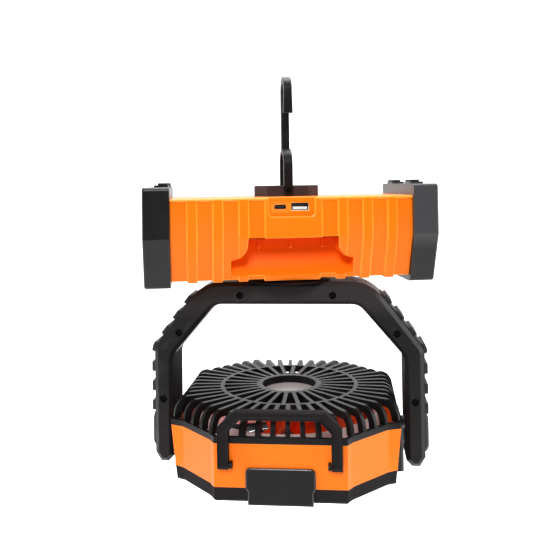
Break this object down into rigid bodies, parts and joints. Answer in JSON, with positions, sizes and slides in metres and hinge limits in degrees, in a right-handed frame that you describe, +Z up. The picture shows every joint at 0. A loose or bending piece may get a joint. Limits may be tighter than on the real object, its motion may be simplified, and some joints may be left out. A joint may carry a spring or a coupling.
{
  "type": "portable camping fan",
  "caption": "Hanging camping fan: ribbed battery base with folding hook and USB ports, swivelling C-bracket, and a tilting octagonal fan head with radial rear grille and bail handle.",
  "frame": {"origin": "point inside the hook's bend where the fan hangs", "axes": "+Z up, +X along the base to the right as seen from the hand grip and charging ports, +Y away from that side"},
  "size_m": [0.224, 0.1842, 0.3059],
  "materials": {
    "orange_plastic": "satin",
    "black_plastic": "satin",
    "rubber": "matt",
    "steel": "brushed",
    "dark_steel": "black oxide",
    "clear_plastic": "frosted",
    "inner_plastic": "satin",
    "circuit_board": "lacquered",
    "cell_sleeve": "shrink sleeve",
    "motor_case": "zinc"
  },
  "bodies": {
    "hook": {"hook": "black_plastic"},
    "base": {"hook_pin": "steel", "hook_block": "black_plastic", "base_rear_shell": "orange_plastic", "base_front_shell": "orange_plastic", "end_cap_left": "black_plastic", "end_cap_right": "black_plastic", "feet": "rubber", "usb_c_socket": "steel", "usb_a_socket": "steel", "charge_board": "circuit_board", "battery_cells": "cell_sleeve", "cell_holder": "inner_plastic", "control_board": "circuit_board", "indicator_window": "clear_plastic", "base_screws": "steel"},
    "fan_button": {"fan_button": "rubber"},
    "lamp_button": {"lamp_button": "rubber"},
    "bracket": {"swivel_disc": "black_plastic", "swivel_bolt": "steel", "swivel_washer": "steel", "swivel_nut": "steel", "bracket_rear_shell": "black_plastic", "bracket_front_shell": "black_plastic", "bracket_screws": "dark_steel", "grip_left": "rubber", "grip_right": "rubber", "pivot_cap_left": "rubber", "pivot_cap_right": "rubber", "pivot_bolts": "steel", "friction_washers": "black_plastic"},
    "head": {"rear_grille": "black_plastic", "hub_cap": "black_plastic", "band_housing": "orange_plastic", "front_bezel": "black_plastic", "front_grille": "black_plastic", "lamp_lens": "clear_plastic", "lamp_board": "circuit_board", "duct_ring": "inner_plastic", "motor": "motor_case", "motor_mount": "black_plastic", "pivot_plate_left": "black_plastic", "pivot_plate_right": "black_plastic", "rear_plate": "black_plastic", "bail_lugs": "black_plastic", "bail_pins": "steel", "head_screws": "steel"},
    "rotor": {"motor_shaft": "steel", "fan_blades": "orange_plastic"},
    "bail": {"bail": "black_plastic"}
  },
  "joints": [
    {"name": "hook_fold", "type": "hinge", "parent": "hook", "child": "base", "pos_m": [0, 0.0064, -0.0852], "axis": [0, 1, 0], "range_deg": [-90, 90]},
    {"name": "swivel", "type": "hinge", "parent": "base", "child": "bracket", "pos_m": [0, 0.0064, -0.1543], "axis": [0, 0, 1], "range_deg": [-180, 180]},
    {"name": "tilt", "type": "hinge", "parent": "bracket", "child": "head", "pos_m": [0, 0.0064, -0.2753], "axis": [0.977, -0.213, 0], "range_deg": [-135, 135]},
    {"name": "spin", "type": "hinge", "parent": "head", "child": "rotor", "pos_m": [0, 0.0064, -0.2623], "axis": [0, 0, 1], "continuous": true},
    {"name": "bail_swing", "type": "hinge", "parent": "head", "child": "bail", "pos_m": [-0.01809, -0.07655, -0.2724], "axis": [0.977, -0.213, 0], "range_deg": [0, 180]},
    {"name": "fan_button_press", "type": "slide", "parent": "base", "child": "fan_button", "axis": [0, -1, 0], "range_m": [0, 0.0012], "stiffness_N_per_m": 600, "springref_m": -0.0005},
    {"name": "lamp_button_press", "type": "slide", "parent": "base", "child": "lamp_button", "axis": [0, -1, 0], "range_m": [0, 0.0012], "stiffness_N_per_m": 600, "springref_m": -0.0005}
  ]
}
